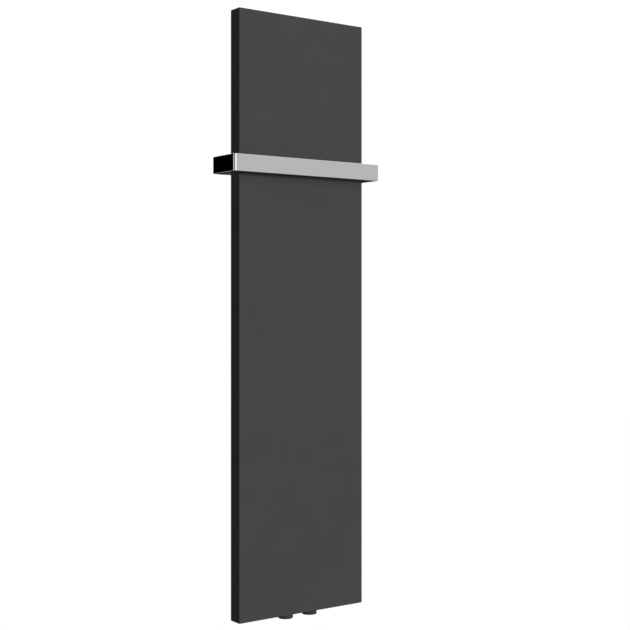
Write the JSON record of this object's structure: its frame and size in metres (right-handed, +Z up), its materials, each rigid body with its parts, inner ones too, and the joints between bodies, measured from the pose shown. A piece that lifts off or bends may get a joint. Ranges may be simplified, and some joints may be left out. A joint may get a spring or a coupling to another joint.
{
  "type": "panel radiator with towel rail",
  "caption": "Tall flat-fronted hot-water radiator for a bathroom wall, with a chromed towel rail wrapped round it, bottom pipe sockets, a bleed valve and wall brackets.",
  "frame": {"origin": "on the wall, on the radiator's centre line, level with the bottom edge of the front panel", "axes": "+X right as seen from the room, +Y into the wall, +Z up"},
  "size_m": [0.53, 0.1893, 1.8129],
  "materials": {
    "powder_coat": "fine-textured matt anthracite powder coat",
    "register_paint": "matt anthracite paint on welded steel",
    "chrome": "polished chrome plate",
    "zinc_steel": "bright zinc plate",
    "socket_steel": "matt anthracite paint, bare tapped bore",
    "nickel_brass": "nickel-plated brass",
    "black_plastic": "fine-grained black plastic",
    "collar_plastic": "satin black plastic",
    "nylon": "grey nylon",
    "seal_rubber": "black rubber"
  },
  "bodies": {
    "wall_brackets": {"wall_plug_upper_left": "nylon", "wall_screw_upper_left": "zinc_steel", "bracket_base_upper_left": "zinc_steel", "wall_plug_upper_right": "nylon", "wall_screw_upper_right": "zinc_steel", "bracket_base_upper_right": "zinc_steel", "wall_plug_lower_left": "nylon", "wall_screw_lower_left": "zinc_steel", "bracket_base_lower_left": "zinc_steel", "wall_plug_lower_right": "nylon", "wall_screw_lower_right": "zinc_steel", "bracket_base_lower_right": "zinc_steel"},
    "hangers": {"hanger_upper_left": "zinc_steel", "hanger_upper_right": "zinc_steel", "hanger_lower_left": "zinc_steel", "hanger_lower_right": "zinc_steel"},
    "radiator": {"front_panel": "powder_coat", "top_header": "register_paint", "bottom_header": "register_paint", "flow_divider": "register_paint", "water_tube_1": "register_paint", "water_tube_2": "register_paint", "water_tube_3": "register_paint", "water_tube_4": "register_paint", "water_tube_5": "register_paint", "water_tube_6": "register_paint", "top_header_cap_left": "register_paint", "bottom_header_cap_left": "register_paint", "pipe_socket_left": "socket_steel", "cover_collar_left": "collar_plastic", "top_header_cap_right": "register_paint", "bottom_header_cap_right": "register_paint", "pipe_socket_right": "socket_steel", "cover_collar_right": "collar_plastic", "hanging_lug_upper_left": "register_paint", "hanging_lug_upper_right": "register_paint", "hanging_lug_lower_left": "register_paint", "hanging_lug_lower_right": "register_paint", "vent_boss": "register_paint", "vent_seal": "seal_rubber", "vent_body": "nickel_brass"},
    "towel_rail": {"towel_rail": "chrome", "clamp_spacer_left": "black_plastic", "clamp_jaw_left": "zinc_steel", "clamp_spacer_right": "black_plastic", "clamp_jaw_right": "zinc_steel", "clamp_screw_upper_left": "zinc_steel", "clamp_screw_upper_right": "zinc_steel", "clamp_screw_lower_left": "zinc_steel", "clamp_screw_lower_right": "zinc_steel"},
    "vent_spindle": {"vent_spindle": "nickel_brass"},
    "lock_screw_upper_left": {"lock_screw_upper_left": "zinc_steel"},
    "lock_screw_upper_right": {"lock_screw_upper_right": "zinc_steel"},
    "lock_screw_lower_left": {"lock_screw_lower_left": "zinc_steel"},
    "lock_screw_lower_right": {"lock_screw_lower_right": "zinc_steel"}
  },
  "joints": [
    {"name": "wall_distance", "type": "slide", "parent": "wall_brackets", "child": "hangers", "axis": [0, -1, 0], "range_m": [-0.005, 0.008]},
    {"name": "lift_off", "type": "slide", "parent": "hangers", "child": "radiator", "axis": [0, 0, 1], "range_m": [0, 0.02]},
    {"name": "rail_height", "type": "slide", "parent": "radiator", "child": "towel_rail", "axis": [0, 0, 1], "range_m": [-0.9, 0.3]},
    {"name": "vent_turn", "type": "hinge", "parent": "radiator", "child": "vent_spindle", "pos_m": [0.15, -0.0739, 1.795], "axis": [0, 0, 1], "range_deg": [0, 540]},
    {"name": "lock_turn_upper_left", "type": "hinge", "parent": "wall_brackets", "child": "lock_screw_upper_left", "pos_m": [-0.1184, -0.03, 1.64], "axis": [-1, 0, 0], "range_deg": [0, 720]},
    {"name": "lock_turn_upper_right", "type": "hinge", "parent": "wall_brackets", "child": "lock_screw_upper_right", "pos_m": [0.1184, -0.03, 1.64], "axis": [1, 0, 0], "range_deg": [0, 720]},
    {"name": "lock_turn_lower_left", "type": "hinge", "parent": "wall_brackets", "child": "lock_screw_lower_left", "pos_m": [-0.1184, -0.03, 0.16], "axis": [-1, 0, 0], "range_deg": [0, 720]},
    {"name": "lock_turn_lower_right", "type": "hinge", "parent": "wall_brackets", "child": "lock_screw_lower_right", "pos_m": [0.1184, -0.03, 0.16], "axis": [1, 0, 0], "range_deg": [0, 720]}
  ]
}
